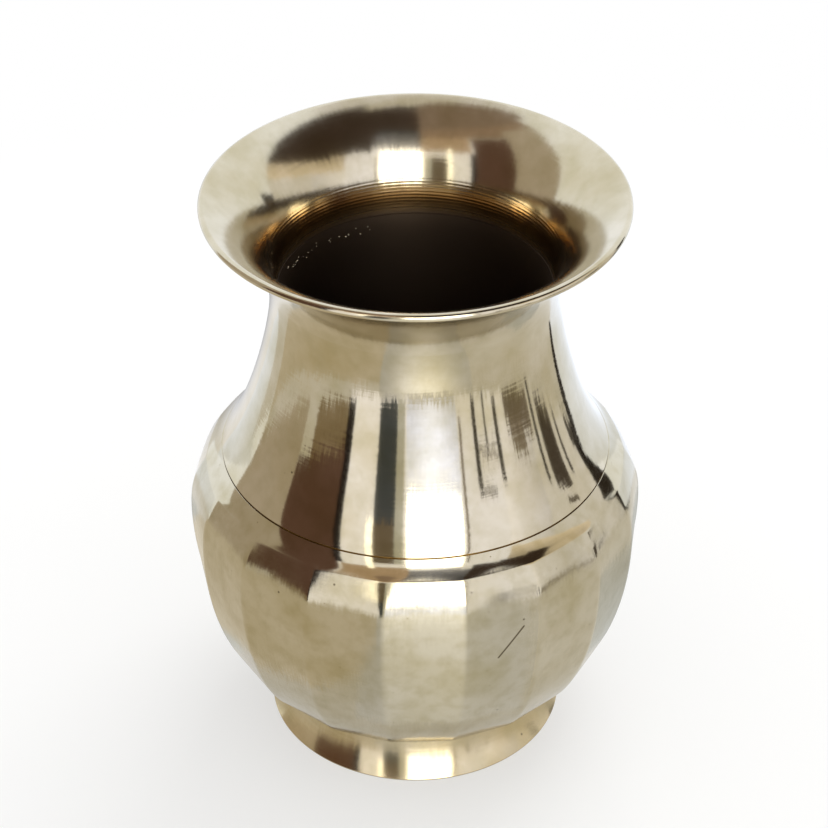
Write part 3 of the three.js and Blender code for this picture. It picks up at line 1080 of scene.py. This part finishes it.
def make_world():
    world = bpy.data.worlds.new("white_studio")
    world.use_nodes = True
    world.node_tree.nodes.clear()
    sky = add(world.node_tree, "ShaderNodeBackground", {"Color": linear(WHITE), "Strength": 1.0})
    add(world.node_tree, "ShaderNodeOutputWorld", {"Surface": sky})
    bpy.context.scene.world = world
    return world


print("studio:", make_table().name, "and", make_world().name)

# %% [markdown]
# ## Cards
# A polished pot has almost no colour of its own: it shows what stands round it. Area lights alone
# would leave it flat, so bright boards and dark cards stand where it should mirror them. Only
# reflections see them, so they are in the way of nothing when the camera moves. Each corner of a card
# has its own strength of light, which lets a card fade.

# %% Cards
CARD_COLUMNS = 24
CARD_ROWS = 12
cards = []


def stand(name, corners, quads, colour, strengths):
    """Makes a card that only reflections see, with a strength of light for each corner."""
    mesh = bpy.data.meshes.new(name)
    mesh.from_pydata(corners, [], quads)
    mesh.attributes.new("glow", "FLOAT", "POINT").data.foreach_set("value", strengths)
    paint, tree = new_material(name)
    strength = add(tree, "ShaderNodeAttribute", attribute_name="glow").outputs["Fac"]
    glow = add(tree, "ShaderNodeEmission", {"Color": linear(colour), "Strength": strength})
    add(tree, "ShaderNodeOutputMaterial", {"Surface": glow})
    mesh.materials.append(paint)
    made = placed(name, mesh)
    for way in ("camera", "diffuse", "transmission", "volume_scatter", "shadow"):
        setattr(made, f"visible_{way}", False)
    cards.append(made)


def grid_card(name, spot, light, colour):
    """A card with corners in columns and rows, from functions of how far across and up it a corner is."""
    shares = [(i / CARD_COLUMNS, j / CARD_ROWS)
              for i in range(CARD_COLUMNS + 1) for j in range(CARD_ROWS + 1)]
    starts = [i * (CARD_ROWS + 1) + j for i in range(CARD_COLUMNS) for j in range(CARD_ROWS)]
    quads = [(k, k + 1, k + CARD_ROWS + 2, k + CARD_ROWS + 1) for k in starts]
    stand(name, [spot(*share) * MM for share in shares], quads, colour, [light(*share) for share in shares])


# %% [markdown]
# ## Where a card stands
# Most cards are curved round the pot, because a mirror shows a direction more than a place: two
# angles say where a card appears in the metal. What the lower half of the pot mirrors is the table, so
# some cards lie there, and a glare is a stretch of table that is brighter or darker than the rest.

# %% Standing and lying cards
BOARD_DISTANCE = 1600
CARD_DISTANCE = 1500
STUDIO_LEVEL = 95


def between(ends, share):
    return ends[0] + (ends[1] - ends[0]) * share


def standing_card(name, azimuths, elevations, colour, strength=1.0, right=None, top=None, sides=None,
                  distance=CARD_DISTANCE):
    """A curved card between two azimuths and two elevations, as seen from the pot. Its light can change
    from the given strength to another towards its right edge, its top or both its sides."""
    to_right, to_top, to_sides = [0 if end is None else end - strength for end in (right, top, sides)]

    def spot(across, up):
        return on_axis(STUDIO_LEVEL) + toward(between(azimuths, across), between(elevations, up)) * distance

    def light(across, up):
        return strength + to_right * across + to_top * up + to_sides * math.cos(math.pi * across) ** 2

    grid_card(name, spot, light, colour)


def lying_card(name, spots, colour, strength=1.0, level=1):
    """A flat card just above the table, by how far right of the pot and behind it its corners lie."""
    corners = [(toward(90, 0) * right + toward(180, 0) * back + on_axis(level)) * MM
               for right, back in spots]
    stand(name, corners, [range(len(corners))], colour, [strength] * len(corners))


def lying_glare(name, azimuths, reaches, colour, edges, near, far, fade=2.0, level=1.5):
    """Light on the table that changes from near the pot to far from it, and fades to its two edges."""
    def spot(across, out):
        return toward(between(azimuths, across), 0) * between(reaches, out) + on_axis(level)

    def light(across, out):
        edge = between(edges, across)
        return edge + (between((near, far), out) - edge) * max(0.0, math.sin(math.pi * across)) ** fade

    grid_card(name, spot, light, colour)


# %% [markdown]
# ## Softbox and boards
# One tall softbox stands to the right of the camera. Its skirt and its haze are dimmer, so that its
# ends are soft in the mirror. A bright backdrop and boards at both sides make the metal pale.

# %% Softbox and boards
standing_card("softbox", (-5, 27), (2, 41), WHITE, 8.0)
standing_card("softbox_skirt", (-6, 28), (-16, 2), "#D3DDFF", 2.8, top=3.7, sides=2.0)
standing_card("softbox_top", (-4, 27), (41, 46), "#E4EAFF", 2.6, top=0.9)
standing_card("softbox_haze", (-4, 34), (46, 62), "#B4B8CC", 1.0, top=0.12)
standing_card("white_strip", (-28, -24), (8, 44), WHITE, 3.5)
standing_card("backdrop", (116, 247), (-18, 66), "#E6EEFF", 1.95, distance=BOARD_DISTANCE)
standing_card("backdrop_top", (116, 247), (66, 80), "#ECF0FF", 1.5, distance=BOARD_DISTANCE)
lying_card("backdrop_foot", ((-480, 168), (-145, 116), (137, 101), (322, 152), (480, 215), (480, 1500),
                             (-480, 1500)), "#E8F0FF", 1.55)
lying_glare("table_shade", (90, 270), (52, 112), "#F1F5F5", edges=(0.95, 0.95), near=0.68, far=0.74,
            fade=0.5, level=0.8)
lying_glare("backdrop_middle", (164, 224), (115, 700), "#F4F6FC", edges=(1.4, 1.4), near=0.5, far=0.5)
for name, azimuths, elevations, colour, light in (
    ("right_board", (27, 54), (-18, 50), "#E9EDFF", {"strength": 1.95}),
    ("right_board_fade", (54, 80), (-18, 26), "#EDF0FF", {"strength": 1.95, "right": 1.35}),
    ("right_board_far", (80, 116), (-18, 26), "#F4F6FF", {"strength": 1.35}),
    ("right_board_high", (54, 116), (26, 43), "#FFF4E6", {"strength": 1.4, "top": 0.6}),
    ("left_board", (-46, -5), (-18, 50), "#EDF0FF", {"strength": 2.0}),
):
    standing_card(name, azimuths, elevations, colour, distance=BOARD_DISTANCE, **light)
print("cards so far:", len(cards))

# %% [markdown]
# ## Flags, strips and bars
# Brass looks like metal only when dark shapes with clear edges cross it. A brown flag at the left,
# a dark strip beside the softbox and thin bars at the right draw the upright bands on the neck, and
# one narrow strip follows the pot's right edge, partly standing and partly on the table. Flags above
# the softbox make the dark arch inside the mouth.

# %% Flags, strips and bars
BAR = "#4A443F"
THIN_LINE = "#3F3935"
EDGE = "#3A332D"
EDGE_ON_TABLE = "#2E2824"
OVERHEAD = "#4A3C34"

standing_card("brown_flag", (-78, -46), (-8, 54), "#755A4F")
standing_card("brown_flag_foot", (-70, -46), (-16, -8), "#A8977C")
standing_card("brown_flag_edge", (-47, -42), (-16, 40), "#2A2220")
standing_card("left_fill", (-113, -78), (-16, 60), "#DAD0C4")
standing_card("dark_strip", (-24, -12), (-17, 9), "#565D66")
standing_card("dark_strip_top", (-24, -12), (9, 36), "#8A7D6C")
standing_card("grey_strip", (-12, -7), (-17, 36), "#E4E7E6", 1.1)
standing_card("thin_line", (29, 30.5), (-12, 36), "#9A8E82")
standing_card("bar_left", (38.8, 41.4), (-17, 0), BAR)
standing_card("bar_middle", (47, 48.3), (-18, -8), BAR)
standing_card("bar_right", (54.6, 57.2), (-17, -3), BAR)
standing_card("cross_bar", (41, 55), (-8.2, -6.8), "#8A8078")
standing_card("bottom_bar", (39, 50), (-1, 0.5), "#6A625B")
standing_card("right_patch", (63.5, 83), (-18, -12), "#938980")
standing_card("right_patch_end", (66, 76), (-12, -8.5), "#A89E92")
standing_card("right_line", (84.8, 86.6), (-20, -3.5), THIN_LINE)
standing_card("right_flag", (89.5, 100), (-17, -2.5), "#5E5650")
standing_card("right_flag_end", (93, 100), (3, 7), "#7A7268")
standing_card("right_line_end", (103, 104.8), (-17, -7), THIN_LINE)
standing_card("edge_strip", (113, 120.5), (-18, -14), EDGE)
standing_card("edge_strip_middle", (115.5, 123.5), (-14, -3), EDGE)
standing_card("edge_strip_end", (115, 124.5), (-3, 16), EDGE)
lying_card("edge_line", ((137, 101), (322, 152), (338, 131), (143, 95)), EDGE_ON_TABLE, level=2)
lying_card("edge_line_end", ((322, 152), (388, 216), (500, 291), (500, 212), (406, 168), (338, 131)),
           EDGE_ON_TABLE, level=2)
standing_card("overhead_flag", (-4, 34), (62, 89), OVERHEAD)
standing_card("overhead_flag_middle", (34, 50), (41.5, 76), OVERHEAD)
standing_card("overhead_flag_high", (34, 85), (76, 87), OVERHEAD)
standing_card("overhead_flag_side", (50, 66), (40, 78), OVERHEAD)
standing_card("overhead_flag_right", (66, 116), (36.5, 78), OVERHEAD)
standing_card("overhead_tan", (-44, -4), (41, 55), "#E6CBB0")
standing_card("overhead_rust", (-112, -4), (55, 64), "#B8A08E")
standing_card("overhead_brown", (-125, -4), (64, 89), "#A59387")
lying_glare("front_glare", (-25, 40), (50, 330), "#EDF0F6", edges=(0.97, 1.08), near=1.32, far=2.7)
lying_card("warm_card", ((-290, -60), (-200, -220), (-40, -290), (-35, -60), (-60, -20), (-60, 60),
                         (-290, 100)), "#EFE7D6")
print("cards:", len(cards))

# %% [markdown]
# ## Soft light
# The white world lights everything evenly. One large area light behind the pot adds a direction, so
# that the soft shadow falls forwards. It is kept out of reflections, where the cards already stand.
# The Standard view shows colours as they were picked.

# %% Soft light
KEY_DIRECTION = toward(150, 55)
KEY_SIZE = 1000
KEY_ENERGY = 10

key = placed("key", bpy.data.lights.new("key", "AREA"))
key.data.size = KEY_SIZE * MM
key.data.energy = KEY_ENERGY
key.location = (on_axis(STUDIO_LEVEL) + KEY_DIRECTION * CARD_DISTANCE) * MM
key.rotation_mode = "QUATERNION"
key.rotation_quaternion = (-KEY_DIRECTION).to_track_quat("-Z", "Y")
key.visible_glossy = False
bpy.context.scene.view_settings.view_transform = "Standard"
print("soft light:", key.data.energy, "W")
